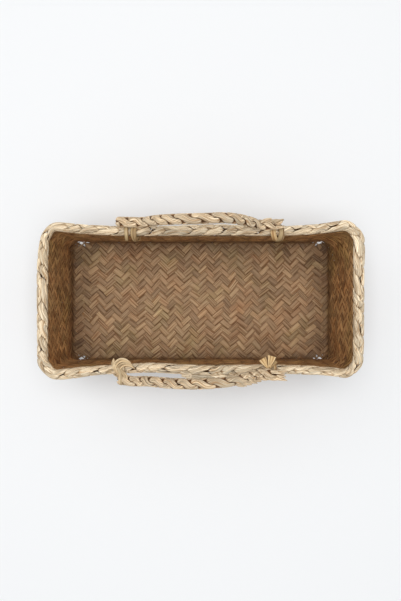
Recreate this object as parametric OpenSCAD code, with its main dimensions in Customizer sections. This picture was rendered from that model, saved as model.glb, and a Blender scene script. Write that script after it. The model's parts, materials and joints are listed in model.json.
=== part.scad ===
// Plaited bread basket with a braided rim and two swinging braided handles.
// Millimetres. +X runs along the basket, +Y to its back, +Z up.
// The origin is at the middle of the floor's underside.

/* [Basket] */
// Length over the rim
rim_len = 380; // [340:1:420]
// Width over the rim at its corners
rim_wid = 184; // [170:1:200]
// Height from the table to the top of the rim
rim_top = 129; // [110:1:150]
// Radius of the rim's centre line at the corners
corner_r = 16; // [14:1:22]
// How far each long side bows in at the rim
bow = 6; // [0:1:9]
// Thickness of the plaited sheet
sheet_t = 3; // [2:0.5:3.5]
// How much the end walls lean out from floor to rim
end_flare = 4.5; // [0:0.5:8]
// How much the long walls lean out from floor to rim
side_flare = 2; // [0:0.5:6]
// Radius of the fold between floor and walls
fold_r = 5; // [4:0.5:7]

/* [Rim braid] */
// Diameter of one strand
rim_strand_d = 4.4; // [4:0.1:4.4]
// Sideways swing of a strand about the braid's middle
rim_sway = 4.4; // [4.4:0.05:4.6]
// Rise and fall of a strand about the braid's middle
rim_lift = 3.5; // [3.5:0.05:3.7]
// Full turns of the braid pattern around the rim
rim_turns = 17; // [15:1:19]

/* [Handles] */
// Length of a handle from tip to tip
handle_len = 196; // [180:1:210]
// Length between the two bends where the arch springs
handle_span = 148; // [130:1:156]
// Steepest slope of the arch
spring_angle = 58; // [40:1:65]
// Radius of the two bends where the arch springs
bend_r = 16; // [12:1:20]
// Diameter of one strand
handle_strand_d = 4.5; // [4:0.1:4.5]
// Swing of a strand in the plane of the arch
handle_sway = 4.35; // [4.3:0.05:4.5]
// Swing of a strand across the plane of the arch
handle_lift = 3.8; // [3.8:0.05:3.9]
// Length of one full turn of the braid pattern
handle_pitch = 40; // [36:1:44]
// Distance from the middle of the rim braid to the middle of a handle's end
shoulder = 15.2; // [15.2:0.1:16]
// Height of a handle's left end around the rim, as an angle above level
shoulder_left = 46; // [35:1:60]
// Height of a handle's right end around the rim, as an angle above level
shoulder_right = 72; // [45:1:80]
// Outward lean of the front handle as it stands
lean_front = 3; // [-5:1:10]
// Outward lean of the back handle as it stands
lean_back = 0; // [-5:1:10]

/* [Ties] */
// Width of one turn of a tie
tie_w = 5; // [4:0.5:6]
// Thickness of a tie's leaf
tie_t = 2.8; // [2:0.1:3]
// Inside radius of a tie where it turns round the rim braid
tie_r = 8; // [7.9:0.1:8.2]
// Position along the rim of the front ties, left then right
tie_x_front = [-91, 83];
// Position along the rim of the back ties, left then right
tie_x_back = [-80, 88];

/* [Hidden] */

FRONT = -1;
BACK = 1;

// Colours of the leaf
weave_color = [0.47, 0.35, 0.23];
rim_color = [0.80, 0.71, 0.56];
handle_color = [0.78, 0.70, 0.57];
tie_color = [0.74, 0.62, 0.42];

// Rim braid: half sizes of its centre line, and where it lies
rim_half_w = rim_sway + rim_strand_d / 2;
rim_half_h = rim_lift + rim_strand_d / 2;
rim_a = rim_len / 2 - rim_half_w;
rim_b = rim_wid / 2 - rim_half_w;
rim_z = rim_top - rim_half_h;
rim_sides = 6;
rim_steps = 8;

// Walls: their outer face at the rim and at the floor
wall_gap = 0.2;
wall_top = rim_z - rim_half_h - wall_gap;
wall_a = rim_a - rim_half_w + sheet_t;
wall_b = rim_b - rim_half_w + sheet_t + 1;
wall_r = corner_r - 3;
wall_foot = fold_r - 1;
arc_steps = 4;
side_steps = 12;
height_steps = 6;

// Handles: the hinge line runs through the middle of the rim braid at the ties
hinge_x = 85;
hinge_y = rim_b - bow_at(hinge_x);
handle_sides = 6;
handle_steps = 10;
stub_len = (handle_len - handle_span) / 2;
arch_r = handle_span / 2 / sin(spring_angle) - bend_r;
bend_len = bend_r * spring_angle * PI / 180;
arch_len = arch_r * 2 * spring_angle * PI / 180;
path_len = 2 * stub_len + 2 * bend_len + arch_len;

// Ties: the slot in the wall that a tie passes through, and its knot
slot_w = 2 * tie_w + 1.4;
slot_z = rim_z - tie_r - tie_t - 0.6;
knot_r = 2.6;
knot_angle = 150;

function unit(v) = v / norm(v);
function mix(p, q, t) = p + (q - p) * t;

// How far the long sides are bowed in at distance x from the middle
function bow_at(x) =
  abs(x) < rim_a - corner_r ? bow * (1 - pow(abs(x) / (rim_a - corner_r), 4)) : 0;

// ---- Strands ----

// One ring of a strand at p, square to direction t
function ring(p, t, ref, r, sides) =
  let (e1 = unit(cross(t, ref)), e2 = cross(e1, t))
  [for (i = [0 : sides - 1]) p + r * (cos(360 * i / sides) * e1 + sin(360 * i / sides) * e2)];

// A tube along points; a closed one joins its last ring to its first
module strand(points, d, ref, sides, closed) {
  n = len(points);
  ring_count = closed ? n : n - 1;
  rings = [
    for (i = [0 : n - 1])
      let (
        before = points[closed ? (i + n - 1) % n : max(i - 1, 0)],
        after = points[closed ? (i + 1) % n : min(i + 1, n - 1)]
      )
      each ring(points[i], unit(after - before), ref, d / 2, sides)
  ];
  skin = [
    for (i = [0 : ring_count - 1], j = [0 : sides - 1])
      let (
        a = i * sides + j,
        b = i * sides + (j + 1) % sides,
        c = ((i + 1) % n) * sides + j,
        e = ((i + 1) % n) * sides + (j + 1) % sides
      )
      each [[a, b, e], [a, e, c]]
  ];
  caps = closed ? [] : [
    [for (j = [sides - 1 : -1 : 0]) j],
    [for (j = [0 : sides - 1]) (n - 1) * sides + j]
  ];
  polyhedron(points = rings, faces = concat(skin, caps), convexity = 10);
}

// Offsets of strand k of a flat three-strand braid, turn counted in full turns
function braid_sway(turn, k, sway) = sway * sin(360 * (turn + k / 3));
function braid_lift(turn, k, lift) = lift * sin(720 * (turn + k / 3));

// ---- Rim ----

// Quarter of a rounded rectangle, from the middle of its right side to the middle of its back
function quarter_point(a, b, r, s) =
  let (side = b - r, turned = (s - side) / r * 180 / PI)
  s < side ? [a, s]
  : turned < 90 ? [a - r + r * cos(turned), b - r + r * sin(turned)]
  : [a - r - (s - side - r * PI / 2), b];

function quarter_len(a, b, r) = a + b - 2 * r + r * PI / 2;

// Centre line of the rim at distance s, anticlockwise, with the long sides bowed in
function rim_point(s) =
  let (
    q = quarter_len(rim_a, rim_b, corner_r),
    d = (s + 4 * q) % (4 * q),
    k = floor(d / q),
    p = quarter_point(rim_a, rim_b, corner_r, k % 2 == 0 ? d - k * q : (k + 1) * q - d),
    x = (k == 1 || k == 2 ? -1 : 1) * p[0],
    y = (k > 1 ? -1 : 1) * (p[1] - bow_at(p[0]))
  )
  [x, y, rim_z];

function rim_normal(s) =
  let (t = rim_point(s + 0.5) - rim_point(s - 0.5))
  unit([t[1], -t[0], 0]);

module rim_strand(k) {
  count = rim_turns * rim_steps;
  around = 4 * quarter_len(rim_a, rim_b, corner_r);
  points = [
    for (i = [0 : count - 1])
      let (s = around * i / count, turn = i / rim_steps)
      rim_point(s) + braid_sway(turn, k, rim_sway) * rim_normal(s)
        + [0, 0, braid_lift(turn, k, rim_lift)]
  ];
  color(rim_color) strand(points, rim_strand_d, [0, 0, 1], rim_sides, true);
}

module rim_strand_a() { rim_strand(0); }
module rim_strand_b() { rim_strand(1); }
module rim_strand_c() { rim_strand(2); }

// ---- Plaited sheet ----

// Plan of one wall's face, from the middle of one corner to the middle of the next,
// for a wall that faces +Y; bowing is the sheet's bow at this height
function wall_plan(a, b, r, bowing) = concat(
  [for (i = [0 : arc_steps]) let (t = 135 - 45 * i / arc_steps)
    [-(a - r) + r * cos(t), b - r + r * sin(t)]],
  [for (i = [1 : side_steps - 1]) let (x = (a - r) * (2 * i / side_steps - 1))
    [x, b - (bow > 0 ? bowing * bow_at(x) / bow : 0)]],
  [for (i = [0 : arc_steps]) let (t = 90 - 45 * i / arc_steps)
    [a - r + r * cos(t), b - r + r * sin(t)]]
);

// A wall that faces +Y, a the half length of its own side and b its distance out
module wall(a, b, a_flare, b_flare, bowing) {
  per_level = len(wall_plan(a, b, wall_r, 0));
  outer = [
    for (j = [0 : height_steps]) let (t = j / height_steps)
      each [for (p = wall_plan(a - a_flare * (1 - t), b - b_flare * (1 - t), wall_r, bowing * t * t))
        [p[0], p[1], mix(wall_foot, wall_top, t)]]
  ];
  inner = [
    for (j = [0 : height_steps]) let (t = j / height_steps)
      each [for (p = wall_plan(a - sheet_t - a_flare * (1 - t), b - sheet_t - b_flare * (1 - t),
                               wall_r - sheet_t, bowing * t * t))
        [p[0], p[1], mix(wall_foot, wall_top, t)]]
  ];
  n = len(outer);
  last = per_level * height_steps;
  faces = concat(
    [for (j = [0 : height_steps - 1], i = [0 : per_level - 2])
      let (p = j * per_level + i, q = p + per_level)
      each [[p, q, q + 1], [p, q + 1, p + 1], [n + p, n + q + 1, n + q], [n + p, n + p + 1, n + q + 1]]],
    [for (i = [0 : per_level - 2])
      each [[i, i + 1, n + i + 1], [i, n + i + 1, n + i],
            [last + i, n + last + i, n + last + i + 1], [last + i, n + last + i + 1, last + i + 1]]],
    [for (j = [0 : height_steps - 1])
      let (p = j * per_level, q = p + per_level, e = per_level - 1)
      each [[p, n + p, n + q], [p, n + q, q], [p + e, n + q + e, n + p + e], [p + e, q + e, n + q + e]]]
  );
  polyhedron(points = concat(outer, inner), faces = faces, convexity = 4);
}

// Slots under the rim where the ties pass through a long wall
module tie_slots(tie_x) {
  for (x = tie_x)
    translate([x - slot_w / 2, wall_b - bow - 2 * sheet_t, slot_z])
      cube([slot_w, bow + 4 * sheet_t, wall_top - slot_z + 1]);
}

module wall_back() {
  color(weave_color) difference() {
    wall(wall_a, wall_b, end_flare, side_flare, bow);
    tie_slots(tie_x_back);
  }
}

module wall_front() {
  color(weave_color) rotate([0, 0, 180]) difference() {
    wall(wall_a, wall_b, end_flare, side_flare, bow);
    tie_slots(-tie_x_front);
  }
}

module wall_left() {
  color(weave_color) rotate([0, 0, 90]) wall(wall_b, wall_a, side_flare, end_flare, 0);
}

module wall_right() {
  color(weave_color) rotate([0, 0, -90]) wall(wall_b, wall_a, side_flare, end_flare, 0);
}

// Whole outline at one level of the fold, inset from the walls' outer face
function fold_plan(inset, z) =
  let (
    a = wall_a - end_flare - inset,
    b = wall_b - side_flare - inset,
    r = wall_r - inset
  )
  [for (k = [0 : 3], i = [0 : 2 * arc_steps]) let (
      t = 90 * k + 45 * i / arc_steps,
      cx = (k == 0 || k == 3 ? 1 : -1) * (a - r),
      cy = (k < 2 ? 1 : -1) * (b - r)
    )
    [cx + r * cos(t), cy + r * sin(t), z]];

// The floor with its turned-up edge: rings up the outside of the fold, then down its inside
module floor_weave() {
  levels = [
    [fold_r, 0], [fold_r * 0.4, fold_r * 0.18], [0, wall_foot],
    [sheet_t, wall_foot], [fold_r + 0.8, sheet_t]
  ];
  per_level = 8 * arc_steps + 4;
  points = [for (level = levels) each fold_plan(level[0], level[1])];
  skin = [
    for (j = [0 : len(levels) - 2], i = [0 : per_level - 1])
      let (p = j * per_level + i, q = j * per_level + (i + 1) % per_level)
      each [[p, q + per_level, q], [p, p + per_level, q + per_level]]
  ];
  underside = [for (i = [0 : per_level - 1]) i];
  top_face = [for (i = [per_level - 1 : -1 : 0]) (len(levels) - 1) * per_level + i];
  color(weave_color) polyhedron(points = points, faces = concat(skin, [underside, top_face]), convexity = 4);
}

// ---- Handles ----

// Distance along, height and slope of the handle's centre line at length s from its left tip
function handle_profile(s) =
  let (
    half = path_len / 2,
    back = s > half,
    d = back ? path_len - s : s,
    bent = (d - stub_len) / bend_r * 180 / PI,
    swept = (d - stub_len - bend_len) / arch_r * 180 / PI,
    side = back ? -1 : 1,
    foot = -handle_span / 2
  )
  d < stub_len ? [side * (foot - stub_len + d), 0, 0]
  : bent < spring_angle ? [side * (foot + bend_r * sin(bent)), bend_r * (1 - cos(bent)), side * bent]
  : [
      -side * arch_r * sin(spring_angle - swept),
      bend_r * (1 - cos(spring_angle)) + arch_r * (cos(spring_angle - swept) - cos(spring_angle)),
      side * (spring_angle - swept)
    ];

// A point of the handle on one side, offset up within the arch and back across it
function handle_point(side, lean, s, up, across) =
  let (
    h = handle_profile(s),
    t = 0.5 + h[0] / handle_len,
    x = h[0] - up * sin(h[2]),
    rise = h[1] + up * cos(h[2]),
    out = mix(shoulder * cos(shoulder_left), shoulder * cos(shoulder_right), t),
    lift = mix(shoulder * sin(shoulder_left), shoulder * sin(shoulder_right), t)
  )
  [
    x,
    side * (hinge_y + out + rise * sin(lean)) + across * cos(lean),
    rim_z + lift + rise * cos(lean) - side * across * sin(lean)
  ];

module handle_strand(side, lean, k) {
  count = ceil(path_len / handle_pitch * handle_steps);
  points = [
    for (i = [0 : count])
      let (s = path_len * i / count, turn = s / handle_pitch)
      handle_point(side, lean, s, braid_sway(turn, k, handle_sway), braid_lift(turn, k, handle_lift))
  ];
  color(handle_color) strand(points, handle_strand_d, [0, 1, 0], handle_sides, false);
}

module handle_front_strand_a() { handle_strand(FRONT, lean_front, 0); }
module handle_front_strand_b() { handle_strand(FRONT, lean_front, 1); }
module handle_front_strand_c() { handle_strand(FRONT, lean_front, 2); }
module handle_back_strand_a() { handle_strand(BACK, lean_back, 0); }
module handle_back_strand_b() { handle_strand(BACK, lean_back, 1); }
module handle_back_strand_c() { handle_strand(BACK, lean_back, 2); }

// ---- Ties ----

// Flat leaf with round edges, in section
module leaf_section() {
  translate([tie_r + tie_t / 2, 0]) {
    square([tie_t, tie_w - tie_t], center = true);
    for (side = [-1, 1])
      translate([0, side * (tie_w - tie_t) / 2]) circle(d = tie_t, $fn = 32);
  }
}

// Two turns of leaf round the rim, knotted at the inside
module tie(side, x) {
  overlap = 0.4;
  color(tie_color) translate([x, side * hinge_y, rim_z]) {
    rotate([0, 90, 0]) rotate_extrude($fn = 64)
      for (turn = [-1, 1])
        translate([0, turn * (tie_w - overlap) / 2]) leaf_section();
    translate([0, side * (tie_r + tie_t) * cos(knot_angle), (tie_r + tie_t) * sin(knot_angle)])
      sphere(r = knot_r, $fn = 32);
  }
}

module tie_front_left() { tie(FRONT, tie_x_front[0]); }
module tie_front_right() { tie(FRONT, tie_x_front[1]); }
module tie_back_left() { tie(BACK, tie_x_back[0]); }
module tie_back_right() { tie(BACK, tie_x_back[1]); }

floor_weave();
wall_front();
wall_back();
wall_left();
wall_right();
rim_strand_a();
rim_strand_b();
rim_strand_c();
handle_front_strand_a();
handle_front_strand_b();
handle_front_strand_c();
handle_back_strand_a();
handle_back_strand_b();
handle_back_strand_c();
tie_front_left();
tie_front_right();
tie_back_left();
tie_back_right();
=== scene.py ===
"""Bread basket: a plaited leaf body, a braided rim and two braided handles lashed to it.

Sizes are in millimetres, and become metres where a mesh is made. The frame is the part's:
+X along the basket, +Y to its back long side, +Z up, with z = 0 in the plane of the table.
"""

import json
import math

import bmesh
import bpy
import numpy as np
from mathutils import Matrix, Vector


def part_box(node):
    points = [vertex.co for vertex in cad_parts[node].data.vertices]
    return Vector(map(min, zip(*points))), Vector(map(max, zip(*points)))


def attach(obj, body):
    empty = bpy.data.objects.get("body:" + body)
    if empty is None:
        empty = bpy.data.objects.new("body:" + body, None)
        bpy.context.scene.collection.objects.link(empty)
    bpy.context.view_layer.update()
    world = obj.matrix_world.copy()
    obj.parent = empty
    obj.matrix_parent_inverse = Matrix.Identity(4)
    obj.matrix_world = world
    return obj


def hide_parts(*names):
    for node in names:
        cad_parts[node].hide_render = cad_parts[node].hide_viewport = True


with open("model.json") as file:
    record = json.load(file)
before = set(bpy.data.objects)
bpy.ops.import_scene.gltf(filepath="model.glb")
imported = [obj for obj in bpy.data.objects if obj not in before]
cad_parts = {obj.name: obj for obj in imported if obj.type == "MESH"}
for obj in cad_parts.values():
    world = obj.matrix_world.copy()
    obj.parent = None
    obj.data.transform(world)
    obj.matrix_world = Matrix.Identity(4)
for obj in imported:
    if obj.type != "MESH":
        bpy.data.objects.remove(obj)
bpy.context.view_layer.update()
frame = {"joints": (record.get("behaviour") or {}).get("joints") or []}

MM = 0.001
SEED = 7

# ---- Sizes from the frame ----


def node_box(node):
    """Lowest and highest corner of a CAD node, in millimetres."""
    low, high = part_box(node)
    return np.array(low) / MM, np.array(high) / MM


def joint_place(name):
    """Place of a joint's axis, in millimetres."""
    joint = next(j for j in frame["joints"] if j["name"] == name)
    return np.array(joint["pos_m"]) / MM


HINGE_Y, RIM_Z = joint_place("handle_back_swing")[1:]
WALL_TOP = node_box("wall_back")[1][2]

# ---- Sizes shared with the part ----

RIM_SWAY = 4.4
RIM_LIFT = 3.5
RIM_STRAND = 4.4
RIM_TURNS = 17
RIM_HALF_W = RIM_SWAY + RIM_STRAND / 2
RIM_HALF_H = RIM_LIFT + RIM_STRAND / 2
RIM_A = 190 - RIM_HALF_W
RIM_B = 92 - RIM_HALF_W
CORNER_R = 16
BOW = 6
SHEET = 3
WALL_R = CORNER_R - 3
WALL_FOOT = 4
END_FLARE = 4.5
SIDE_FLARE = 2

HANDLE_LEN = 196
HANDLE_SPAN = 148
SPRING = math.radians(58)
BEND_R = 16
HANDLE_SWAY = 4.35
HANDLE_LIFT = 3.8
HANDLE_STRAND = 4.5
HANDLE_PITCH = 40
SHOULDER = 15.2
SHOULDER_LEFT = math.radians(46)
SHOULDER_RIGHT = math.radians(72)
LEAN = {"front": math.radians(3), "back": 0.0}
SIDE = {"front": -1, "back": 1}
STUB = (HANDLE_LEN - HANDLE_SPAN) / 2
ARCH_R = HANDLE_SPAN / 2 / math.sin(SPRING) - BEND_R
BEND_LEN = BEND_R * SPRING
HANDLE_PATH = 2 * STUB + 2 * BEND_LEN + ARCH_R * 2 * SPRING

# ---- Plait: lattice of crossings, in columns along X and rows along Y ----

HALF_COLS = 33
HALF_ROWS = 16
AROUND = 4 * (HALF_COLS + HALF_ROWS)
FOLD_R = 4
STRIP_T = 0.5
STRIP_LEVEL = 0.5
STRIP_CROWN = 0.16
FLOOR_Z = STRIP_LEVEL + STRIP_T / 2 + 0.3
MID_INSET = 0.8
FOOT_A = RIM_A - RIM_HALF_W + SHEET - MID_INSET - END_FLARE
FOOT_B = RIM_B - RIM_HALF_W + SHEET + 1 - MID_INSET - SIDE_FLARE
FOOT_R = WALL_R - MID_INSET
FOLD_SAVED = FOLD_R * (1 - math.pi / 4)
CORNER_U = FOOT_R - FOLD_SAVED
COL = (FOOT_A - FOLD_SAVED) / HALF_COLS
ROW = (FOOT_B - FOLD_SAVED) / HALF_ROWS
PLAIT_TOP = WALL_TOP + 2.2
SAMPLES_PER_CROSSING = 6
BORDER_SHIFT = 0.13
CORNER_X = FOOT_A - 13
CORNER_LIFT = 1.8


# ---- Small helpers ----


def smooth(x):
    """Smooth step from 0 to 1."""
    x = np.clip(x, 0, 1)
    return x * x * (3 - 2 * x)


def wave_noise(x, rng, period, octaves=3):
    """Smooth seeded noise between about -1 and 1 along x."""
    total = np.zeros_like(x, float)
    for octave in range(octaves):
        scale = 2**octave
        total += np.sin(2 * math.pi * (x * scale / period + rng.random())) / scale
    return total / 1.6


def unit(v):
    """Vectors of length 1 along the last axis."""
    return v / np.maximum(np.linalg.norm(v, axis=-1, keepdims=True), 1e-9)


class Skin:
    """Collects swept leaves into one mesh, with where each point lies on its leaf."""

    def __init__(self):
        self.points = []
        self.faces = []
        self.leaf = []
        self.tone = []
        self.count = 0

    def add(self, rings, along, across, edge, tint, closed=False):
        """Rings of points, (n, m, 3). along (n,) and across (m,) are millimetres on the leaf,
        edge is 0 in its middle and 1 at its edge, and tint (2,) or (n, m, 2) is for its colour."""
        n, m = rings.shape[:2]
        base = self.count + np.arange(n * m).reshape(n, m)
        rows = base if not closed else np.vstack([base, base[:1]])
        a, b = rows[:-1], rows[1:]
        quads = np.stack([a, np.roll(a, -1, 1), np.roll(b, -1, 1), b], -1)
        self.faces += quads.reshape(-1, 4).tolist()
        if not closed:
            self.faces += [base[0][::-1].tolist(), base[-1].tolist()]
        self.points.append(rings.reshape(-1, 3))
        along = np.asarray(along, float)[:, None]
        first, second = np.moveaxis(np.asarray(tint), -1, 0)
        self.leaf.append(self._spread(n, m, along, across, first * 100))
        self.tone.append(self._spread(n, m, edge, first, second))
        self.count += n * m

    @staticmethod
    def _spread(n, m, *parts):
        return np.stack([np.broadcast_to(p, (n, m)) for p in parts], -1).reshape(-1, 3)

    def build(self, name, material):
        """The collected leaves as one smooth-shaded object."""
        mesh = bpy.data.meshes.new(name)
        mesh.from_pydata((np.vstack(self.points) * MM).tolist(), [], self.faces)
        for attribute, values in (("leaf", self.leaf), ("tone", self.tone)):
            layer = mesh.attributes.new(attribute, "FLOAT_VECTOR", "POINT")
            layer.data.foreach_set("vector", np.vstack(values).astype(np.float32).ravel())
        work = bmesh.new()
        work.from_mesh(mesh)
        bmesh.ops.recalc_face_normals(work, faces=work.faces)
        work.to_mesh(mesh)
        work.free()
        mesh.polygons.foreach_set("use_smooth", [True] * len(mesh.polygons))
        mesh.materials.append(material)
        obj = bpy.data.objects.new(name, mesh)
        bpy.context.scene.collection.objects.link(obj)
        return obj


# ---- Plaited body ----


def bow_at(x):
    """How far the long sides are bowed in at x, at the rim."""
    return BOW * (1 - np.clip(np.abs(x) / (RIM_A - CORNER_R), 0, 1) ** 4)


def fold(t):
    """Inset and height of the sheet at distance t past the middle of the fold."""
    turn = np.clip(t / FOLD_R + math.pi / 4, 0, math.pi / 2)
    before = np.maximum(-t - FOLD_R * math.pi / 4, 0)
    after = np.maximum(t - FOLD_R * math.pi / 4, 0)
    return FOLD_R * (1 - np.sin(turn)) + before, FOLD_R * (1 - np.cos(turn)) + after


def widen(x, y, h):
    """Place of a point of the sheet once the walls flare, and bow in along the long sides."""
    z = FLOOR_Z + h
    rise = np.maximum(z - WALL_FOOT, 0) / (WALL_TOP - WALL_FOOT)
    x = x + END_FLARE * rise * np.clip(x / (FOOT_A - FOOT_R), -1, 1)
    y = y + SIDE_FLARE * rise * np.clip(y / (FOOT_B - FOOT_R), -1, 1)
    bowed = bow_at(x) * rise**2
    y = y - np.sign(y) * bowed * np.clip(np.abs(y) / (FOOT_B - FOOT_R), 0, 1)
    return waver(np.stack([x, y, z], -1))


def waver(spot):
    """The sheet moved a little, and smoothly, as if plaited by hand."""
    x, y, z = (spot[..., i] for i in range(3))
    held = smooth((z - 2 * FOLD_R) / 30) * smooth((PLAIT_TOP - z) / 30)
    dx = 1.2 * np.sin(x / 17 + y / 23 + z / 23) + 0.8 * np.sin(y / 9.3 - x / 31 + 2)
    dy = 1.1 * np.sin(y / 15 - x / 21 + z / 21 + 1) + 0.7 * np.sin(x / 8.7 + y / 29)
    dz = 0.7 * np.sin(x / 14 - y / 12 + z / 15)
    inside = smooth((FOOT_A - np.abs(x)) / 12) * smooth((FOOT_B - np.abs(y)) / 12)
    on_floor = z < 2 * FOLD_R
    plan = np.where(on_floor, inside, held)
    corner = ((np.abs(x) - CORNER_X) / 15) ** 2 + ((np.abs(y) - FOOT_B) / 13) ** 2
    lifted = CORNER_LIFT * np.exp(-corner) * smooth((40 - z) / 30)
    return spot + np.stack([dx * plan, dy * plan, dz * held + lifted], -1)


def floor_place(col, row):
    """Place on the floor at a column and row of the plait."""
    x, y = np.abs(col * COL), np.abs(row * ROW)
    u, v = x - (FOOT_A - FOOT_R), y - (FOOT_B - FOOT_R)
    t = np.maximum(x - COL * HALF_COLS, y - ROW * HALF_ROWS)
    w, h = fold(t)
    in_corner = (u > 0) & (v > 0)
    low, high = np.minimum(u, v), np.maximum(np.maximum(u, v), 1e-6)
    angle = math.pi / 4 * low / high
    angle = np.where(u >= v, angle, math.pi / 2 - angle)
    px = np.where(in_corner, FOOT_A - FOOT_R + (FOOT_R - w) * np.cos(angle), np.where(u > v, FOOT_A - w, x))
    py = np.where(in_corner, FOOT_B - FOOT_R + (FOOT_R - w) * np.sin(angle), np.where(u > v, y, FOOT_B - w))
    inner = (u <= 0) & (v <= 0)
    px, py = np.where(inner, x, px), np.where(inner, y, py)
    return widen(px * np.sign(col), py * np.sign(row), h)


def wall_side(k):
    """Which wall a column lies on (0 right, 1 back, 2 left, 3 front) and its place along it."""
    k = np.mod(k, AROUND)
    starts = np.cumsum([0, 2 * HALF_ROWS, 2 * HALF_COLS, 2 * HALF_ROWS])
    side = np.searchsorted(starts, k, side="right") - 1
    half = np.where(side % 2 == 0, HALF_ROWS, HALF_COLS)
    return side, k - starts[side] - half


def wall_turn(k):
    """Wall, distance along it and how far a column has turned round a corner."""
    side, local = wall_side(k)
    ends = side % 2 == 0
    v = local * np.where(ends, ROW, COL)
    straight = np.where(ends, FOOT_B, FOOT_A) - FOOT_R
    angle = math.pi / 4 * np.clip((np.abs(v) - straight) / CORNER_U, 0, 1) * np.sign(v)
    return side, v, straight, angle


def row_height(k):
    """Height of one row of the plait on the walls, blended round the corners."""
    side, _, _, angle = wall_turn(k)
    blend = np.abs(angle) / (math.pi / 2)
    blend = np.where(side % 2 == 0, blend, 1 - blend)
    return COL + (ROW - COL) * blend


def wall_place(k, level):
    """Place on the walls at a column counted round the basket and a level counted up."""
    side, v, straight, angle = wall_turn(k)
    w, h = fold(level * row_height(k))
    out = np.where(side % 2 == 0, FOOT_A, FOOT_B) - FOOT_R + (FOOT_R - w) * np.cos(angle)
    along = np.clip(v, -straight, straight) + (FOOT_R - w) * np.sin(angle)
    x = np.choose(side, [out, -along, -out, along])
    y = np.choose(side, [along, out, -along, -out])
    return widen(x, y, h)


def up_wall(exit_side, col, row):
    """Column round the basket and level up the wall, for a strip that leaves by that side."""
    corner = [
        (row + HALF_ROWS, col - HALF_COLS),
        (2 * HALF_ROWS + HALF_COLS - col, row - HALF_ROWS),
        (3 * HALF_ROWS + 2 * HALF_COLS - row, -HALF_COLS - col),
        (4 * HALF_ROWS + 3 * HALF_COLS + col, -HALF_ROWS - row),
    ]
    return corner[exit_side]


class Strip:
    """One leaf of the plait: up one wall, across the floor and up another.

    Family a climbs to the right across the floor (column and row both count up);
    family b falls to the right. index is the even lattice number that tells strips apart."""

    def __init__(self, family, index):
        self.slope = 1 if family == "a" else -1
        self.index = index
        reach = HALF_COLS - HALF_ROWS
        key = index
        self.exit_high = 0 if key > reach else (1 if self.slope > 0 else 3)
        self.exit_low = 2 if key < -reach else (3 if self.slope > 0 else 1)
        self.n_low = self._leave(self.exit_low)
        self.n_high = self._leave(self.exit_high)

    def lattice(self, n, q):
        """Column and row at n crossings along the strip and q crossings across it."""
        return n + q, self.slope * (n - self.index - q)

    def _leave(self, exit_side):
        """Where along the strip its middle leaves the floor by one side."""
        if exit_side % 2 == 0:
            return HALF_COLS if exit_side == 0 else -HALF_COLS
        row = HALF_ROWS if exit_side == 1 else -HALF_ROWS
        return self.slope * row + self.index

    def place(self, n, q):
        """Places on the sheet, for arrays n and q."""
        col, row = self.lattice(n, q)
        spot = floor_place(np.clip(col, -HALF_COLS, HALF_COLS), np.clip(row, -HALF_ROWS, HALF_ROWS))
        for exit_side in (self.exit_low, self.exit_high):
            k, level = up_wall(exit_side, col, row)
            spot = np.where((level > 0)[..., None], wall_place(k, np.maximum(level, 0)), spot)
        return spot

    def end(self, exit_side, q):
        """Where along the strip it reaches the top of the wall, for each q."""
        sign = 1 if exit_side == self.exit_high else -1
        n = np.full_like(q, self.n_high if sign > 0 else self.n_low, float)
        rise = PLAIT_TOP - FLOOR_Z - FOLD_R + FOLD_R * math.pi / 4
        for _ in range(6):
            k, level = up_wall(exit_side, *self.lattice(n, q))
            n = n + sign * (rise / row_height(k) - level)
        return n

    def over(self, n):
        """1 where the strip lies inside at crossing n, -1 where it lies outside."""
        col, row = self.lattice(n, 0.0)
        inside = (col % 4 < 2) == (self.slope > 0)
        for exit_side in (self.exit_low, self.exit_high):
            k, level = up_wall(exit_side, col, row)
            side, local = wall_side(k)
            count = np.choose(side, [HALF_COLS + level, -local, -HALF_COLS - level, local])
            climbing = (self.slope > 0) == (exit_side % 2 == 0)
            on_end = side % 2 == 0
            here = (count % 4 < 2) == (climbing == on_end)
            inside = np.where(level > 0, here, inside)
        return np.where(inside, 1.0, -1.0)


def strip_floats(strip, n, rng):
    """Distance of the strip off the middle of the sheet, over two and under two, and how light
    each of its floats is."""
    first = int(math.floor(n.min())) - 1
    crossings = np.arange(first, int(math.ceil(n.max())) + 3)
    side = strip.over(crossings.astype(float))
    state = side + rng.uniform(-0.16, 0.16, len(crossings))
    i = np.floor(n).astype(int) - first
    part = smooth((n - np.floor(n) - 0.22) / 0.56)
    level = STRIP_LEVEL * (state[i] * (1 - part) + state[i + 1] * part)
    run = np.concatenate([[0], np.cumsum(side[1:] != side[:-1])])
    light = rng.random(len(crossings))[run]
    return level, light[np.round(n).astype(int) - first]


def corner_slack(spot):
    """Share of a strip's width that is left near the open spots at the feet of the corners."""
    x, y, z = np.abs(spot[..., 0]), np.abs(spot[..., 1]), spot[..., 2]
    away = ((x - CORNER_X) / 7) ** 2 + ((y - FOOT_B + 1) / 5) ** 2 + ((z - 6) / 9) ** 2
    return 1 - 0.84 * np.exp(-(away**2))


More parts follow.
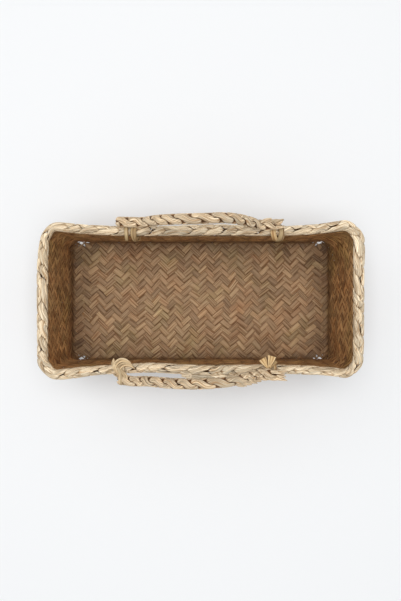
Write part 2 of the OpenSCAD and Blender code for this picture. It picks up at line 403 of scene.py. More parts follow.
def plait_strip(family, index, borders, rng, material):
    """One strip of leaf of the plaited body, between its two borders."""
    strip = Strip(family, index)
    lanes = np.array([-1, -0.82, 0, 0.82, 1])
    half = 0.5 + (borders[1] - borders[0]) / 2 - rng.uniform(0.002, 0.016)
    shift = (borders[0] + borders[1]) / 2
    reach = lanes * half + shift
    low, high = strip.end(strip.exit_low, reach), strip.end(strip.exit_high, reach)
    count = int((high.mean() - low.mean()) * SAMPLES_PER_CROSSING) + 1
    part = np.linspace(0, 1, count)[:, None]
    n = low + (high - low) * part
    q = np.broadcast_to(reach, n.shape)
    q = q * corner_slack(strip.place(n, q * 0))
    q = q + 0.012 * wave_noise(n, rng, 17)
    spot = strip.place(n, q)
    flow = np.gradient(spot, axis=0)
    cross = strip.place(n, q + 0.03) - strip.place(n, q - 0.03)
    inward = -strip.slope * unit(np.cross(flow, cross))
    level, light = strip_floats(strip, n, rng)
    tilt = 0.10 * wave_noise(n, rng, 5.3) * lanes
    crown = STRIP_CROWN * (1 - lanes**2)
    thick = STRIP_T / 2 * np.array([0.3, 1, 1, 1, 0.3])
    upper = spot + inward * (level + tilt + crown + thick)[..., None]
    lower = spot + inward * (level + tilt + crown - thick)[..., None]
    rings = np.concatenate([upper, lower[:, ::-1]], 1)
    pitch = math.hypot(COL, ROW)
    across = np.concatenate([lanes, lanes[::-1]]) * half * pitch
    # Darker towards the strip's edges: partly the leaf's own edge, partly painted shade in the gaps between strips.
    edge = np.abs(np.concatenate([lanes, lanes[::-1]])) ** 8
    light = 0.55 * rng.random() + 0.45 * np.concatenate([light, light[:, ::-1]], 1)
    tints = np.stack([np.full(light.shape, rng.random()), light], -1)
    skin = Skin()
    skin.add(rings, n[:, 2] * pitch, across, edge, tints)
    name = f"weave_strip_{family}_{(index + HALF_COLS + HALF_ROWS - 1) // 2:02d}"
    return skin.build(name, material)


def plaited_body(material):
    """All strips of the body."""
    rng = np.random.default_rng(SEED)
    reach = HALF_COLS + HALF_ROWS - 1
    borders = rng.uniform(-BORDER_SHIFT, BORDER_SHIFT, (2, reach + 2))
    return [
        plait_strip(family, index, borders[f, i : i + 2], rng, material)
        for f, family in enumerate("ab")
        for i, index in enumerate(range(-reach, reach + 1, 2))
    ]


# ---- Braids ----

LEAF_RUN = 90

# Painted shade in the seams between strands: how far below the braid's oval it starts, and over what depth it
# deepens.
SEAM_START = 0.4
SEAM_DEPTH = 1.2


def strand_centres(turns, sway, lift):
    """Offsets of the three strands of a flat braid, (3, n, 2), after some turns."""
    phase = 2 * math.pi * (turns[None, :] + np.arange(3)[:, None] / 3)
    return np.stack([sway * np.sin(phase), lift * np.sin(2 * phase)], -1)


def strand_cell(centres, k, angles, half, cap, gap, sharp):
    """Radius of strand k in each direction, and how near that is to a seam (0 to 1), which is drawn darker as painted
    shade in the valley between strands.

    The strand fills the room that its neighbours leave it inside the braid's oval. A high
    value of sharp keeps it flat up to a narrow seam."""
    heading = np.stack([np.cos(angles), np.sin(angles)], -1)
    own = centres[k]
    limits = [np.full((len(own), len(angles)), float(cap))]
    for other in range(3):
        if other == k:
            continue
        apart = centres[other] - own
        facing = apart @ heading.T
        middle = (apart**2).sum(-1)[:, None] / 2 / np.maximum(facing, 1e-3)
        limits.append(np.where(facing > 1e-3, middle, 99) - gap)
    scaled_own, scaled = own / half, heading[None] / half[:, None]
    qa = (scaled**2).sum(-1)
    qb = (scaled_own[:, None] * scaled).sum(-1)
    qc = (scaled_own**2).sum(-1)[:, None] - 1
    oval = (-qb + np.sqrt(np.maximum(qb**2 - qa * qc, 0))) / qa
    stack = np.maximum(np.stack(limits + [oval]), 0.2)
    radius = (stack**-sharp).sum(0) ** (-1 / sharp)
    return radius, smooth((oval - radius - SEAM_START) / SEAM_DEPTH)


def leaf_laps(angles, along, rng, leaves, depth):
    """Leaves of a bundle lapped over each other: how far each point sinks, how near it is to
    a leaf's edge, and its leaf's two tints. A leaf runs out now and then, and another starts."""
    drift = 0.5 * wave_noise(along, rng, 190) + 0.10 * wave_noise(along, rng, 53)
    phase = leaves * (angles[None, :] / (2 * math.pi) + drift[:, None] / 2)
    lap = np.mod(phase, 1)
    leaf = np.mod(np.floor(phase), leaves).astype(int)
    shown = 0.6 + 0.4 * wave_noise(along, rng, 37)[:, None]
    starts = rng.uniform(0, LEAF_RUN, leaves)[leaf]
    runs = ((along[:, None] + starts) // LEAF_RUN).astype(int)
    tints = rng.random((runs.max() + 1, leaves, 2))[runs, leaf]
    # The edge value darkens a leaf's lapped edge: partly the leaf's own edge, partly painted shade in the crease
    # under the next leaf.
    return depth * lap**2 * shown, 0.85 * lap**3.5 * shown, tints


def open_slits(angles, along, openness, rng):
    """How open the seam of a strand is at each point: mostly shut, with a slit here and there."""
    turn = rng.random() * 6 + 0.8 * wave_noise(along, rng, 71)[:, None]
    return smooth(wave_noise(along, rng, 43, 2)[:, None] * 1.5 + openness + 0.5 * np.cos(angles + turn))


def braid_strand(centre, sway_dir, lift_dir, along, k, spec, rng):
    """Rings of strand k, how near each point is to an edge, its angle, and its tints."""
    turns = along / spec["pitch"] + spec["slip"]
    centres = strand_centres(turns, spec["sway"], spec["lift"]) * spec["gather"][None, :, None]
    angles = np.linspace(0, 2 * math.pi, spec["sides"], endpoint=False)
    slit = open_slits(angles, along, spec["openness"], rng)
    gap = spec["gap"] + spec["slit"] * slit
    radius, seam = strand_cell(centres, k, angles, spec["half"], spec["cap"], gap, spec["sharp"])
    sink, lap, tints = leaf_laps(angles, along, rng, spec["leaves"], spec["depth"])
    radius = np.maximum(radius - sink, 0.3) * spec["taper"][:, None]
    a = centres[k][:, :1] + radius * np.cos(angles)
    b = centres[k][:, 1:] + radius * np.sin(angles)
    rings = centre[:, None] + a[..., None] * sway_dir[:, None] + b[..., None] * lift_dir[:, None]
    # Painted shade in the seams, deeper where a slit opens; at the lapped leaf edges, partly painted shade and partly
    # the leaf's own edge.
    edge = np.maximum(seam * (spec["seam"] + (1 - spec["seam"]) * slit), lap)
    return rings, np.clip(edge, 0, 1), angles, tints


# ---- Rim ----

RIM_TILT = 34
END_BULGE = 1.6

QUARTER = RIM_A + RIM_B - 2 * CORNER_R + CORNER_R * math.pi / 2
CORNER_AT = RIM_B - CORNER_R + CORNER_R * math.pi / 4

# Where the rim is thicker or thinner, in its outer half: place along it, length, how much
SWELLS = (
    (CORNER_AT, 36, 1.3),
    (2 * QUARTER - CORNER_AT + 12, 15, -1.5),
    (2 * QUARTER + CORNER_AT + 24, 30, 1.3),
    (4 * QUARTER - CORNER_AT - 30, 26, -0.6),
)


def rim_centre(s):
    """Centre line of the rim at distance s, from the middle of its right side, anticlockwise."""
    d = np.mod(s, 4 * QUARTER)
    k = (d // QUARTER).astype(int)
    d = np.where(k % 2 == 0, d - k * QUARTER, (k + 1) * QUARTER - d)
    side = RIM_B - CORNER_R
    turned = np.clip((d - side) / CORNER_R, 0, math.pi / 2)
    past = np.maximum(d - side - CORNER_R * math.pi / 2, 0)
    x = RIM_A - CORNER_R + CORNER_R * np.cos(turned) - past
    y = np.minimum(d, side) + CORNER_R * np.sin(turned)
    x = np.where((k == 1) | (k == 2), -x, x)
    y = np.where(k > 1, -1, 1) * (y - bow_at(x))
    return np.stack([x, y, np.full_like(x, RIM_Z)], -1)


def rim_strand(k, rng, material):
    """One strand of the rim braid."""
    count = RIM_TURNS * 44
    around = 4 * QUARTER
    along = np.linspace(0, around, count, endpoint=False)
    centre = rim_centre(along)
    flow = unit(rim_centre(along + 0.5) - rim_centre(along - 0.5))
    outward = np.stack([flow[:, 1], -flow[:, 0], 0 * flow[:, 0]], -1)
    upward = np.broadcast_to([0.0, 0.0, 1.0], outward.shape)
    on_side = outward[:, 1] ** 2
    loose = np.cos(np.clip(np.abs(centre[:, 0]) / 110, 0, 1) * math.pi / 2) ** 2
    waves = np.sin(2 * math.pi * along / around * 9) + np.sin(2 * math.pi * along / around * 23 + 1)
    half_w = RIM_HALF_W - on_side * (1.2 - 0.8 * loose) + 0.15 * waves
    bulge = END_BULGE * np.cos(np.clip(np.abs(centre[:, 1]) / RIM_B, 0, 1) * math.pi / 2) * (1 - on_side)
    half_w += bulge / 2
    corner = np.exp(-(((np.mod(along, 2 * QUARTER) - CORNER_AT) / 9) ** 2))
    corner += np.exp(-(((np.mod(-along, 2 * QUARTER) - CORNER_AT) / 9) ** 2))
    shift = on_side * (1.1 + loose) + bulge / 2 - 1.9 * corner
    front = on_side * (centre[:, 1] < 0)
    swell = on_side * np.exp(-(((centre[:, 0] - 22) / 34) ** 2))
    for where, length, much in SWELLS:
        bump = much * np.exp(-(((along - where) / length) ** 2))
        half_w += bump
        shift += 1.1 * bump
    half_w += (0.8 + 0.4 * front) * swell
    shift += (1.0 + 0.6 * front) * swell - 1.0 * front
    shift -= front * 1.8 * np.exp(-(((centre[:, 0] + 55) / 30) ** 2))
    tilt = math.radians(RIM_TILT)
    sway_dir = math.cos(tilt) * outward - math.sin(tilt) * upward
    lift_dir = math.sin(tilt) * outward + math.cos(tilt) * upward
    spec = {
        "pitch": around / RIM_TURNS, "sway": 3.7, "lift": 2.9, "gather": np.ones(count),
        "taper": np.ones(count), "sides": 96, "cap": 5.6, "leaves": 11, "depth": 0.8, "seam": 0.3, "sharp": 13,
        "gap": 0.03, "slit": 1.6, "openness": -0.05,
        "half": np.stack([half_w, 0 * half_w + RIM_HALF_H], -1),
        "slip": 0.05 * np.sin(2 * math.pi * along / around * 13) + 0.03 * waves,
    }
    centre = centre + shift[:, None] * outward
    rings, edge, angles, tints = braid_strand(centre, sway_dir, lift_dir, along, k, spec, rng)
    skin = Skin()
    skin.add(rings, along, angles * 4, edge, tints, closed=True)
    return skin.build(f"rim_leaf_{'abc'[k]}", material)


# ---- Handles ----

HANDLE_LOOK_PITCH = 52
FIRST = {"front": 2.4, "back": 0.6}
TIPS = {"front": 26, "back": 12}
CUT = {"front": 6, "back": 9}

# Where along a handle it strays outwards, how far, and over what length
STRAYS = {"front": ((-72, 3.0, 16), (62, -2.2, 24)), "back": ((35, 3.2, 28),)}


def handle_profile(s):
    """Distance along, height and slope of a handle's centre line at s from its left tip."""
    back = s > HANDLE_PATH / 2
    d = np.where(back, HANDLE_PATH - s, s)
    side = np.where(back, -1.0, 1.0)
    bent = np.clip((d - STUB) / BEND_R, 0, SPRING)
    swept = np.clip((d - STUB - BEND_LEN) / ARCH_R, 0, SPRING)
    slope = bent - swept
    foot = -HANDLE_SPAN / 2
    stub = np.minimum(d - STUB, 0)
    in_bend = swept <= 0
    x = np.where(in_bend, foot + stub + BEND_R * np.sin(bent), -ARCH_R * np.sin(SPRING - swept))
    rise = BEND_R * (1 - np.cos(bent)) + ARCH_R * (np.cos(SPRING - swept) - math.cos(SPRING))
    return side * x, rise, side * slope


def handle_frame(name, s):
    """Centre, up and across directions of a handle at distances s."""
    side, lean = SIDE[name], LEAN[name]
    x, rise, slope = handle_profile(s)
    t = 0.5 + x / HANDLE_LEN
    out = SHOULDER * (math.cos(SHOULDER_LEFT) * (1 - t) + math.cos(SHOULDER_RIGHT) * t)
    lift = SHOULDER * (math.sin(SHOULDER_LEFT) * (1 - t) + math.sin(SHOULDER_RIGHT) * t)
    out = out + sum(far * np.exp(-(((x - where) / length) ** 2)) for where, far, length in STRAYS[name])
    y = side * (HINGE_Y + out + rise * math.sin(lean))
    z = RIM_Z + lift + rise * math.cos(lean)
    up = np.stack([-np.sin(slope), side * np.cos(slope) * math.sin(lean), np.cos(slope) * math.cos(lean)], -1)
    across = np.broadcast_to([0.0, math.cos(lean), -side * math.sin(lean)], up.shape)
    return np.stack([x, y, z], -1), up, across


def handle_strand(name, k, rng, material):
    """One strand of a handle: a blunt left end, and a right end that thins out."""
    count = 330
    first = FIRST[name]
    along = np.linspace(first, HANDLE_PATH - CUT[name], count)
    centre, up, across = handle_frame(name, along)
    blunt = np.sqrt(np.clip(1 - (1 - np.minimum((along - first) / 7 + 0.01, 1)) ** 2, 0.02, 1))
    left = HANDLE_PATH - CUT[name] + 0.1 - along
    thin = np.sqrt(np.clip(left / 16, 0.004, 1))
    half = np.array([HANDLE_SWAY, HANDLE_LIFT]) + HANDLE_STRAND / 2
    spec = {
        "pitch": HANDLE_LOOK_PITCH, "sway": 4.0, "lift": 3.4, "cap": 5.0, "sharp": 14,
        "gap": 0.12, "slit": 1.0, "openness": 0.1,
        "gather": (0.55 + 0.45 * blunt) * (0.75 + 0.25 * thin), "taper": blunt * thin,
        "sides": 96, "leaves": 10, "depth": 1.0, "seam": 0.85,
        "half": np.broadcast_to(half, (count, 2)), "slip": 0.05 * np.sin(along / 13 + SIDE[name]),
    }
    rings, edge, angles, tints = braid_strand(centre, up, across, along, k, spec, rng)
    skin = Skin()
    skin.add(rings, along, angles * 4, edge, tints)
    return skin.build(f"handle_{name}_leaf_{'abc'[k]}", material)


# ---- Ties ----

TIE_W = 5
TIE_IN = 6.9
TIE_T = 2.0
BLADE_T = 1.1


def leaf_ribbon(skin, path, side, face, half_w, half_t, rng, closed=False):
    """A flat leaf swept along a path: side is across it and face is square to it."""
    sides = 22
    angles = np.linspace(0, 2 * math.pi, sides, endpoint=False)
    a = np.sign(np.cos(angles)) * np.abs(np.cos(angles)) ** 0.6
    b = np.sign(np.sin(angles)) * np.abs(np.sin(angles)) ** 0.8
    steps = np.concatenate([[0], np.cumsum(np.linalg.norm(np.diff(path, axis=0), axis=1))])
    sink, lap, _ = leaf_laps(angles, steps, rng, 5, 0.12)
    if closed:
        sink, lap = sink * 0 + sink[:1], lap * 0 + lap[:1]
    wide, thick = (np.broadcast_to(v, (len(path),))[:, None] for v in (half_w, half_t))
    rings = path[:, None] + (a * (wide - sink))[..., None] * side[:, None] + (b * (thick - sink))[..., None] * face[:, None]
    skin.add(rings, steps, a * 2.5, lap, rng.random(2), closed=closed)


FAN_LEAVES = ((-0.52, 12.5, 9.0, 0.12), (0.26, 14.5, 9.6, 0.0), (0.95, 11.5, 5.0, 0.2))


def hinge_frame(name):
    """Side and middle of the rim braid on the hinge line of a handle."""
    side = SIDE[name]
    return side, np.array([0.0, side * HINGE_Y, RIM_Z])


def turn_of_leaf(skin, name, x, rng, width=TIE_W, lift=0.0, lean=0.0):
    """One turn of leaf round the rim at x. lift opens it inwards, and lean slants it along the rim."""
    side, middle = hinge_frame(name)
    turn = np.linspace(0, 2 * math.pi, 96, endpoint=False)
    radial = np.stack([0 * turn, side * np.cos(turn), np.sin(turn)], -1)
    inward = smooth((1 - np.cos(turn - math.radians(165))) / 2)
    reach = TIE_IN + TIE_T / 2 + lift * (1 - inward)
    along = x + lean * np.sin(turn) + 0.3 * np.sin(2 * turn + rng.random() * 6)
    sideways = np.broadcast_to([1.0, 0, 0], radial.shape)
    path = middle + radial * reach[:, None] + sideways * along[:, None]
    half_w = width / 2 * (1 + 0.14 * np.sin(turn + rng.random() * 6))
    leaf_ribbon(skin, path, sideways, radial, half_w, TIE_T / 2, rng, closed=True)


def lashing_turn(skin, name, x_rim, x_handle, reach, width, rng):
    """One turn of leaf round the rim and the left end of a handle together."""
    side, middle = hinge_frame(name)
    centres = np.array([[0, 0], [SHOULDER * math.cos(SHOULDER_LEFT), SHOULDER * math.sin(SHOULDER_LEFT)]])
    radii = np.array([TIE_IN + 1.2, HANDLE_SWAY + HANDLE_STRAND / 2 - 1.4]) + reach
    turn = np.linspace(0, 2 * math.pi, 240)
    normal = np.stack([np.cos(turn), np.sin(turn)], -1)
    which = np.argmax(normal @ centres.T + radii, axis=1)
    outline = centres[which] + radii[which][:, None] * normal
    steps = np.concatenate([[0], np.cumsum(np.linalg.norm(np.diff(outline, axis=0), axis=1))])
    even = np.linspace(0, steps[-1], 90, endpoint=False)
    out, up = (np.interp(even, steps, outline[:, i]) for i in range(2))
    toward = (out * centres[1, 0] + up * centres[1, 1]) / SHOULDER**2
    x = x_rim + (x_handle - x_rim) * smooth((toward + 0.2) / 1.3)
    path = middle + np.stack([x, side * out, up], -1)
    flow = unit(np.roll(path, -1, 0) - np.roll(path, 1, 0))
    across = unit(np.array([1.0, 0, 0]) - flow * flow[:, :1])
    face = np.cross(flow, across) * -side
    half_w = width / 2 * (1.15 - 0.4 * smooth(toward)) * (1 + 0.1 * np.sin(even / 9 + rng.random() * 6))
    leaf_ribbon(skin, path, across, face, half_w, 0.6, rng, closed=True)


def blade(skin, start, heading, face, length, widths, bend, rng, twist=0.5):
    """A loose blade of leaf: from start along heading, bending towards face, tapering by widths."""
    t = np.linspace(0, 1, 18)
    heading, face = unit(np.array(heading, float)), np.array(face, float)
    face = unit(face - heading * (face @ heading))
    path = np.array(start) + length * (t[:, None] * heading + bend * t[:, None] ** 2 * face)
    flow = unit(np.gradient(path, axis=0))
    side = unit(np.cross(flow, face))
    twist = (rng.uniform(-twist, twist) * t)[:, None]
    top = unit(np.cross(side, flow))
    side, top = side * np.cos(twist) + top * np.sin(twist), top * np.cos(twist) - side * np.sin(twist)
    width = np.interp(t, np.linspace(0, 1, len(widths)), widths) / 2
    leaf_ribbon(skin, path, side, top, width, np.minimum(BLADE_T / 2, width * 0.8), rng)


def fan(skin, name, x, rng):
    """Ends of a tie, pinched on the rim and spread inwards over it."""
    side, middle = hinge_frame(name)
    pinch = middle + np.array([x, -side * 1.5, TIE_IN + 2.0])
    for spread, length, wide, drop in FAN_LEAVES:
        heading = (spread, -side, 0.15 - drop)
        start = pinch + np.array([spread * 1.5, 0, 0.8 - drop])
        widths = (1.8, 0.42 * wide, 0.8 * wide, 1.05 * wide)
        blade(skin, start, heading, (0, 0, -1), length, widths, 0.24, rng, twist=0.2)
    for spread in (-0.6, 0.9):
        blade(skin, pinch, (spread, side, 0.05), (0, 0, -1), 8, (2.4, 4.0, 1.0), 0.3, rng)
    turn_of_knot(skin, pinch, (1, 0, 0), 2.0, rng)


def turn_of_knot(skin, place, axis, radius, rng):
    """A small band of leaf that pinches a knot, round an axis through place."""
    turn = np.linspace(0, 2 * math.pi, 40, endpoint=False)
    axis = unit(np.array(axis, float))
    first = unit(np.cross(axis, (0.0, 0.3, 1.0)))
    second = np.cross(axis, first)
    radial = np.cos(turn)[:, None] * first + np.sin(turn)[:, None] * second
    path = np.array(place) + radial * radius
    leaf_ribbon(skin, path, np.broadcast_to(axis, path.shape), radial, 1.6, 0.7, rng, closed=True)


def bent_leaf(skin, name, points, half_w, rng):
    """A leaf along a smooth curve. points are (along, inward, up) from the hinge line."""
    side, middle = hinge_frame(name)
    t = np.linspace(0, 1, 40)[:, None, None]
    row = np.broadcast_to(np.array(points, float), (40, len(points), 3))
    while row.shape[1] > 1:
        row = row[:, :-1] * (1 - t) + row[:, 1:] * t
    path = middle + row[:, 0] * np.array([1, -side, 1])
    flow = unit(np.gradient(path, axis=0))
    across = unit(np.cross(flow, (0.0, 0.0, 1.0)))
    taper = np.minimum(1, 0.25 + 4 * (1 - t[:, 0, 0]))
    leaf_ribbon(skin, path, across, np.cross(across, flow), half_w * taper, 0.45, rng)


def wrapped_end(skin, name, x, rng):
    """Leaves lashed round the rim and the blunt end of a handle, with a loose loop of leaf."""
    side, middle = hinge_frame(name)
    for i, reach, width in ((2, 0.0, 3.4), (0, 0.5, 3.0), (4, 0.2, 3.8), (1, 0.9, 3.2), (3, 0.5, 4.2)):
        lashing_turn(skin, name, x + 2.2 - 1.2 * i, x + 6.5 + 2.1 * i, reach, width, rng)
    loop = ((x - 2, 1, 9), (x + 1, 13, 12), (x + 9, 17, 10.5), (x + 19, 8, 8.5))
    for i in range(4):
        bent_leaf(skin, name, [(a + 1.6 * i, inward - 2.5 * i, up - 0.4 * i) for a, inward, up in loop], 1.15, rng)
    bent_leaf(skin, name, ((x + 3, -4, 9), (x + 1, 3, 11), (x - 2, 9, 10), (x - 1, 13, 6)), 1.6, rng)
    for heading in ((1, side * 0.25, -0.08), (1, -side * 0.1, 0.02), (-1, side * 0.5, -0.2)):
        start = middle + np.array([x + 3 * heading[0], 0, TIE_IN + 1.4])
        blade(skin, start, heading, (0, 0, -1), 9, (3.0, 3.6, 0.8), 0.15, rng)


# Leaves that stand out of the rim: where each starts along it, out from its middle and up
LOOSE = ((-22, 7.4, 2.0), (-18, 8.8, 0.5), (-10, 7.6, 3.0), (0, 9.2, 0.5), (10, 7.8, 2.5), (22, 8.8, 0.8))

# Turns of each tie: shift along the rim, width, how far it opens inwards, slant
TURNS = {
    "back_left": ((-5.8, 4.4, 1.8, 0.4), (4.9, 6.6, 2.4, -2.0)),
    "back_right": ((-0.4, 7.6, 1.6, -4.0), (2.4, 6.4, 2.3, 3.0)),
    "front_left": ((0.6, 4.4, 0.3, 0.8),),
    "front_right": ((-2.4, 4.8, 0.3, -0.8), (2.2, 4.4, 0.6, 0.8)),
}


def tie(cad_name, x, rng, material):
    """Leaf lashing of one end of a handle, each tied a little differently."""
    _, name, end = cad_name.split("_")
    skin = Skin()
    for shift, width, lift, lean in TURNS[f"{name}_{end}"]:
        turn_of_leaf(skin, name, x + shift, rng, width, lift, lean)
    if (name, end) == ("front", "right"):
        fan(skin, name, x - 5, rng)
    if (name, end) == ("front", "left"):
        wrapped_end(skin, name, x - 8, rng)
    return skin.build(f"{cad_name}_leaf", material)


def loose_leaves(rng, material):
    """Leaves that stand out of the front of the rim, where it comes close to the handle."""
    skin = Skin()
    for x, out, rise in LOOSE:
        start = np.array([x, -(HINGE_Y + out), RIM_Z + rise])
        blade(skin, start, (1, -0.09, 0.03), (0, -0.2, 1), rng.uniform(26, 34), (3.0, 5.4, 5.6, 4.0, 1.0),
              -0.04, rng, twist=0.4)
    return skin.build("rim_loose_leaves", material)


def frayed_end(name, rng, material):
    """Loose leaf tips that stick out of the right end of a handle."""
    side = SIDE[name]
    skin = Skin()
    for i in range(TIPS[name]):
        back = CUT[name] + (rng.uniform(3, 6) if i < 6 else 3.3 * (i - 5))
        out = rng.uniform(-1, 1) if i < 6 else 1.0
        rise = rng.uniform(-1, 1) if i < 6 else rng.uniform(-0.3, 0.7)
        centre, _, _ = handle_frame(name, np.array([HANDLE_PATH - back]))
        start = centre[0] + np.array([0, 3.6 * out * side, 3.6 * rise])
        heading = (1.0, side * (0.26 * out + 0.1), 0.2 * rise)
        blade(skin, start, heading, (0, side * rise, -out), rng.uniform(8, 12), (3.0, 4.6, 3.4, 0.5),
              rng.uniform(-0.15, 0.1), rng)
    return skin.build(f"handle_{name}_frayed_end", material)


# ---- Materials ----


def node(tree, kind, **values):
    """A shader node, with its properties set."""
    made = tree.nodes.new(kind)
    for key, value in values.items():
        setattr(made, key, value)
    return made


def stretched_noise(tree, source, scale, detail):
    """Noise stretched along the leaf: scale is per millimetre along it, across it, and per leaf."""
    mapping = node(tree, "ShaderNodeMapping")
    mapping.inputs["Scale"].default_value = scale
    noise = node(tree, "ShaderNodeTexNoise")
    noise.inputs["Scale"].default_value = 1
    noise.inputs["Detail"].default_value = detail
    tree.links.new(source, mapping.inputs["Vector"])
    tree.links.new(mapping.outputs["Vector"], noise.inputs["Vector"])
    return noise.outputs["Fac"]


def mixed(tree, blend_type, factor, first, second):
    """A colour mix; factor, first and second are sockets or values."""
    mix = node(tree, "ShaderNodeMix", data_type="RGBA", blend_type=blend_type)
    sockets = (mix.inputs[0], mix.inputs[6], mix.inputs[7])
    for socket, value in zip(sockets, (factor, first, second)):
        if isinstance(value, bpy.types.NodeSocket):
            tree.links.new(value, socket)
        else:
            socket.default_value = value
    return mix.outputs[2]


def stepped(tree, source, low, high, to_low=0.0, to_high=1.0):
    """source from low..high mapped to to_low..to_high."""
    ranged = node(tree, "ShaderNodeMapRange")
    for key, value in zip(("From Min", "From Max", "To Min", "To Max"), (low, high, to_low, to_high)):
        ranged.inputs[key].default_value = value
    tree.links.new(source, ranged.inputs["Value"])
    return ranged.outputs["Result"]


def combined(tree, operation, first, second):
    """Two values put together; each is a socket or a number."""
    made = node(tree, "ShaderNodeMath", operation=operation)
    for socket, value in zip(made.inputs, (first, second)):
        if isinstance(value, bpy.types.NodeSocket):
            tree.links.new(value, socket)
        else:
            socket.default_value = value
    return made.outputs[0]


def leaf_material(name, dark, middle, light, warm, edge_dark, streak, painted_wall_light=None, bump=0.12):
    """Dried leaf: long fibres, slow blotches, a colour of its own for each leaf, and dark edges, seams and creases
    that are partly the leaf's own and partly painted shade. Given a wall colour, the inside of the body also gets
    painted light up its walls and painted shade at their foot.
    """
    material = bpy.data.materials.new(name)
    material.use_nodes = True
    tree = material.node_tree
    shader = tree.nodes["Principled BSDF"]
    leaf = node(tree, "ShaderNodeAttribute", attribute_name="leaf").outputs["Vector"]
    tone = node(tree, "ShaderNodeAttribute", attribute_name="tone").outputs["Vector"]
    parts = node(tree, "ShaderNodeSeparateXYZ")
    tree.links.new(tone, parts.inputs["Vector"])
    edge, first, second = (parts.outputs[key] for key in "XYZ")
    streaks = stretched_noise(tree, leaf, (0.028, 0.55, 1.3), 3)
    fibres = stretched_noise(tree, leaf, (0.035, 1.5, 1), 4)
    splits = stretched_noise(tree, leaf, (0.022, 0.75, 2.9), 1)
    threads = stretched_noise(tree, leaf, (0.06, 5.0, 1.7), 3)
    blotch = stretched_noise(tree, leaf, (0.07, 0.16, 2.3), 2)
    colour = mixed(tree, "MIX", stepped(tree, fibres, 0.35, 0.68), (*middle, 1), (*light, 1))
    colour = mixed(tree, "MIX", stepped(tree, blotch, 0.4, 0.66, 0.1, 0.7), colour, (*middle, 1))
    colour = mixed(tree, "MIX", stepped(tree, streaks, 0.45, 0.28, 0, streak), colour, (*dark, 1))
    colour = mixed(tree, "MIX", stepped(tree, first, 0, 1, 0, 0.55), colour, (*warm, 1))
    shade = stepped(tree, second, 0, 1, 0.68, 1.26)
    edges = stepped(tree, edge, 0.05, 0.8, 0, edge_dark)
    if painted_wall_light:
        place = node(tree, "ShaderNodeSeparateXYZ")
        tree.links.new(node(tree, "ShaderNodeTexCoord").outputs["Object"], place.inputs["Vector"])
        patch = node(tree, "ShaderNodeTexNoise")
        patch.inputs["Scale"].default_value = 26
        patch.inputs["Detail"].default_value = 3
        tree.links.new(node(tree, "ShaderNodeTexCoord").outputs["Object"], patch.inputs["Vector"])
        reddish = stepped(tree, patch.outputs["Fac"], 0.52, 0.72, 0, 0.8)
        olive = stepped(tree, patch.outputs["Fac"], 0.48, 0.30, 0, 0.8)
        colour = mixed(tree, "MULTIPLY", reddish, colour, (1.0, 0.86, 0.76, 1))
        colour = mixed(tree, "MULTIPLY", olive, colour, (0.92, 1.0, 0.84, 1))
        # Faces that look into the basket: the painted light and painted shade below go on these only.
        facing = node(tree, "ShaderNodeVectorMath", operation="DOT_PRODUCT")
        tree.links.new(node(tree, "ShaderNodeTexCoord").outputs["Object"], facing.inputs[0])
        tree.links.new(node(tree, "ShaderNodeTexCoord").outputs["Normal"], facing.inputs[1])
        inside = stepped(tree, facing.outputs["Value"], 0.03, 0.0)
        # Painted light: going up from the fold, the inside walls are made lighter and warmer, for the light they get.
        rising = stepped(tree, place.outputs["Z"], FOLD_R * MM, 0.035)
        rising = combined(tree, "MULTIPLY", rising, inside)
        # Painted shade at the foot of the inside walls and on the floor next to them, near the ends and the long
        # sides.
        low = stepped(tree, place.outputs["Z"], 0.03, 0.002)
        foot = 0.0
        for axis, reach, dusk in (("X", FOOT_A, 36), ("Y", FOOT_B, 10)):
            outward = combined(tree, "ABSOLUTE", place.outputs[axis], 0.0)
            near = stepped(tree, outward, (reach - dusk) * MM, (reach - 1) * MM)
            foot = combined(tree, "MAXIMUM", combined(tree, "MINIMUM", low, near), foot)
        # Painted light on the inside walls.
        colour = mixed(tree, "MULTIPLY", rising, colour, (*painted_wall_light, 1))
        foot = combined(tree, "MULTIPLY", foot, inside)
        # Painted shade at the foot of the inside walls.
        colour = mixed(tree, "MULTIPLY", foot, colour, (0.56, 0.50, 0.43, 1))
        # Up the inside walls each leaf's own lightness varies more, and the dark edges, partly painted shade, grow
        # stronger.
        spread = stepped(tree, rising, 0, 1, 1.0, 1.4)
        shade = combined(tree, "ADD", 1.0, combined(tree, "MULTIPLY", spread, combined(tree, "SUBTRACT", shade, 1.0)))
        edges = combined(tree, "MULTIPLY", spread, edges)
    shade_rgb = node(tree, "ShaderNodeCombineColor")
    for key in ("Red", "Green", "Blue"):
        tree.links.new(shade, shade_rgb.inputs[key])
    colour = mixed(tree, "MULTIPLY", 1.0, colour, shade_rgb.outputs["Color"])
    split = stepped(tree, splits, 0.45, 0.38, 0, 1)
    colour = mixed(tree, "MULTIPLY", split, colour, (0.58, 0.46, 0.35, 1))
    line = stepped(tree, threads, 0.30, 0.46, 0.45, 0.0)
    colour = mixed(tree, "MULTIPLY", line, colour, (0.62, 0.52, 0.42, 1))
    # Dark edges, seams and creases: partly the leaf's own darker edges, partly painted shade.
    colour = mixed(tree, "MULTIPLY", edges, colour, (0.27, 0.17, 0.10, 1))
    tree.links.new(colour, shader.inputs["Base Color"])
    tree.links.new(stepped(tree, fibres, 0.3, 0.7, 0.72, 0.52), shader.inputs["Roughness"])
    height = node(tree, "ShaderNodeMath", operation="ADD")
    tree.links.new(fibres, height.inputs[0])
    tree.links.new(threads, height.inputs[1])
    bumps = node(tree, "ShaderNodeBump")
    bumps.inputs["Strength"].default_value = 0.5
    bumps.inputs["Distance"].default_value = bump * MM * 2
    tree.links.new(height.outputs[0], bumps.inputs["Height"])
    tree.links.new(bumps.outputs["Normal"], shader.inputs["Normal"])
    shader.inputs["Specular IOR Level"].default_value = 0.35
    return material


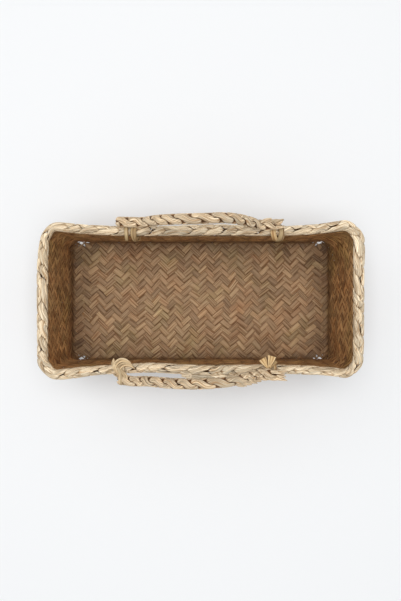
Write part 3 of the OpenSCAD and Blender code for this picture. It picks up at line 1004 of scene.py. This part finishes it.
def table_material():
    """Plain pale table."""
    material = bpy.data.materials.new("table")
    material.use_nodes = True
    tree = material.node_tree
    shader = tree.nodes["Principled BSDF"]
    noise = node(tree, "ShaderNodeTexNoise")
    noise.inputs["Scale"].default_value = 3
    colour = mixed(tree, "MIX", noise.outputs["Fac"], (0.86, 0.865, 0.87, 1), (0.88, 0.885, 0.89, 1))
    tree.links.new(colour, shader.inputs["Base Color"])
    shader.inputs["Roughness"].default_value = 0.9
    return material


# ---- Stage, light and camera ----


def add_table():
    """A large pale table for the basket to stand on."""
    bpy.ops.mesh.primitive_plane_add(size=8)
    table = bpy.context.object
    table.name = "table"
    table.data.materials.append(table_material())


def add_light(name, place, size, power, colour):
    """A large soft square light that points at the basket."""
    lamp = bpy.data.lights.new(name, "AREA")
    lamp.size = size
    lamp.energy = power
    lamp.color = colour
    obj = bpy.data.objects.new(name, lamp)
    obj.location = place
    aim = -obj.location.normalized()
    obj.rotation_euler = aim.to_track_quat("-Z", "Y").to_euler()
    bpy.context.scene.collection.objects.link(obj)


def add_lights():
    """Even daylight, with a large soft light from the back left."""
    world = bpy.data.worlds.new("daylight")
    world.use_nodes = True
    sky = world.node_tree.nodes["Background"]
    sky.inputs["Color"].default_value = (0.97, 0.985, 1.0, 1)
    sky.inputs["Strength"].default_value = 0.5
    bpy.context.scene.world = world
    add_light("window", (-1.0, 1.0, 2.0), 1.8, 6.5, (1.0, 0.99, 0.97))
    add_light("overhead", (0.0, 0.05, 2.4), 1.6, 36, (0.985, 0.992, 1.0))


def add_camera():
    """A camera straight above the middle of the basket."""
    camera = bpy.data.cameras.new("camera")
    camera.sensor_width = 36
    camera.lens = 36
    obj = bpy.data.objects.new("camera", camera)
    obj.location = (0, 0, 0.70 + RIM_Z * MM)
    bpy.context.scene.collection.objects.link(obj)
    bpy.context.scene.camera = obj


# ---- Everything together ----

plait_leaf = leaf_material(
    "plaited_leaf", (0.178, 0.102, 0.048), (0.393, 0.251, 0.129), (0.552, 0.384, 0.216), (0.322, 0.179, 0.089), 0.62, 0.7,
    painted_wall_light=(1.40, 1.28, 1.05))
rim_leaf = leaf_material(
    "rim_leaf", (0.45, 0.30, 0.16), (0.83, 0.69, 0.48), (0.98, 0.87, 0.69), (0.79, 0.60, 0.37), 1.0, 1.0)
handle_leaf = leaf_material(
    "handle_leaf", (0.42, 0.27, 0.145), (0.76, 0.61, 0.41), (0.93, 0.80, 0.61), (0.70, 0.50, 0.29), 1.0, 1.0)
tie_leaf = leaf_material(
    "tie_leaf", (0.30, 0.18, 0.08), (0.58, 0.41, 0.20), (0.78, 0.60, 0.35), (0.52, 0.33, 0.14), 0.8, 1.0)

pale_tie_leaf = leaf_material(
    "pale_tie_leaf", (0.34, 0.22, 0.11), (0.62, 0.47, 0.28), (0.80, 0.67, 0.46), (0.56, 0.38, 0.19), 0.8, 0.9)

body = plaited_body(plait_leaf)
for strip in body:
    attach(strip, "basket")
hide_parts("floor_weave", "wall_front", "wall_back", "wall_left", "wall_right")

rng = np.random.default_rng(SEED + 1)
for k, letter in enumerate("abc"):
    strand = rim_strand(k, rng, rim_leaf)
    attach(strand, "basket")
    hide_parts(f"rim_strand_{letter}")
loose = loose_leaves(rng, rim_leaf)
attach(loose, "basket")

for name in ("front", "back"):
    for k, letter in enumerate("abc"):
        strand = handle_strand(name, k, rng, handle_leaf)
        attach(strand, f"handle_{name}")
        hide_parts(f"handle_{name}_strand_{letter}")
    tips = frayed_end(name, rng, handle_leaf)
    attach(tips, f"handle_{name}")
    for end in ("left", "right"):
        cad_name = f"tie_{name}_{end}"
        low, high = node_box(cad_name)
        lashing = tie(cad_name, (low[0] + high[0]) / 2, rng, pale_tie_leaf if cad_name == "tie_front_left" else tie_leaf)
        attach(lashing, f"handle_{name}")
        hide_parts(cad_name)

add_table()
add_lights()
add_camera()
bpy.context.scene.view_settings.view_transform = "Standard"
